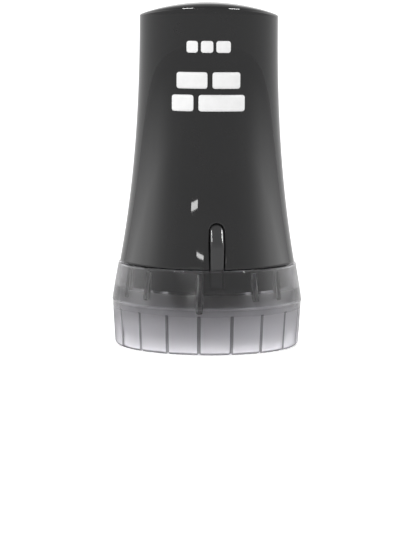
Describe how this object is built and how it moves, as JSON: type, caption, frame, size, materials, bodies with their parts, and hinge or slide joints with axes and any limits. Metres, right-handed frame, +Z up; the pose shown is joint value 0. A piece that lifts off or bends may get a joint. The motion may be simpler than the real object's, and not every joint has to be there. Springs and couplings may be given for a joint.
{
  "type": "privacy roller stamp",
  "caption": "Hand-held privacy roller stamp: waisted housing with release tongues, inner cartridge with rubber print wheel and ink roller, and a ribbed see-through smoked cap to stand in.",
  "frame": {"origin": "middle of the cap's foot, on the surface it stands on", "axes": "+Z up along the housing's axis; the front tongue and the grip face look towards -Y; the wheel's axle lies along X"},
  "size_m": [0.038, 0.038, 0.0683],
  "materials": {
    "smoked_cap": "clear smoke-grey moulded plastic, glossy, with a slight violet tint",
    "housing_gloss": "charcoal moulded plastic with a high gloss",
    "neck_gloss": "near-black moulded plastic, glossy",
    "tongue_satin": "dark grey satin plastic",
    "frame_plastic": "near-black matt plastic",
    "hub_plastic": "dark grey bearing plastic",
    "die_rubber": "dark moulded stamp rubber, matt",
    "ink_roll": "fine-pored rubber soaked in black ink",
    "steel": "bright turned steel"
  },
  "bodies": {
    "cap": {"cap_shell": "smoked_cap"},
    "cartridge": {"neck_sleeve": "neck_gloss", "cheek_left": "frame_plastic", "cheek_right": "frame_plastic", "bridge": "frame_plastic", "bridge_screw_left": "steel", "bridge_screw_right": "steel", "wheel_axle": "steel", "wheel_washer_left": "steel", "wheel_washer_right": "steel", "wheel_clip_left": "steel", "wheel_clip_right": "steel", "ink_axle": "steel", "ink_washer_left": "steel", "ink_washer_right": "steel", "ink_clip_left": "steel", "ink_clip_right": "steel"},
    "print_wheel": {"wheel_hub": "hub_plastic", "print_die": "die_rubber"},
    "ink_roller": {"ink_core": "hub_plastic", "ink_sleeve": "ink_roll"},
    "tongue_front": {"release_tongue_front": "tongue_satin"},
    "tongue_back": {"release_tongue_back": "tongue_satin"},
    "housing": {"housing_shell": "housing_gloss"}
  },
  "joints": [
    {"name": "cap_pull", "type": "slide", "parent": "cap", "child": "cartridge", "axis": [0, 0, 1], "range_m": [0, 0.03]},
    {"name": "housing_pull", "type": "slide", "parent": "cartridge", "child": "housing", "axis": [0, 0, 1], "range_m": [0, 0.03]},
    {"name": "wheel_spin", "type": "hinge", "parent": "cartridge", "child": "print_wheel", "pos_m": [0, 0, 0.01485], "axis": [1, 0, 0], "continuous": true},
    {"name": "ink_spin", "type": "hinge", "parent": "cartridge", "child": "ink_roller", "pos_m": [0, 0, 0.03075], "axis": [1, 0, 0], "continuous": true},
    {"name": "tongue_front_press", "type": "hinge", "parent": "cartridge", "child": "tongue_front", "pos_m": [0.00179, -0.0155, 0.0136], "axis": [-0.9934, -0.1149, 0], "range_deg": [0, 4], "stiffness_Nm_per_rad": 0.1},
    {"name": "tongue_back_press", "type": "hinge", "parent": "cartridge", "child": "tongue_back", "pos_m": [-0.00179, 0.0155, 0.0136], "axis": [0.9934, 0.1149, 0], "range_deg": [0, 4], "stiffness_Nm_per_rad": 0.1}
  ],
  "couplings": [
    {"joint": "ink_spin", "follows": "wheel_spin", "ratio": -1.8636}
  ]
}
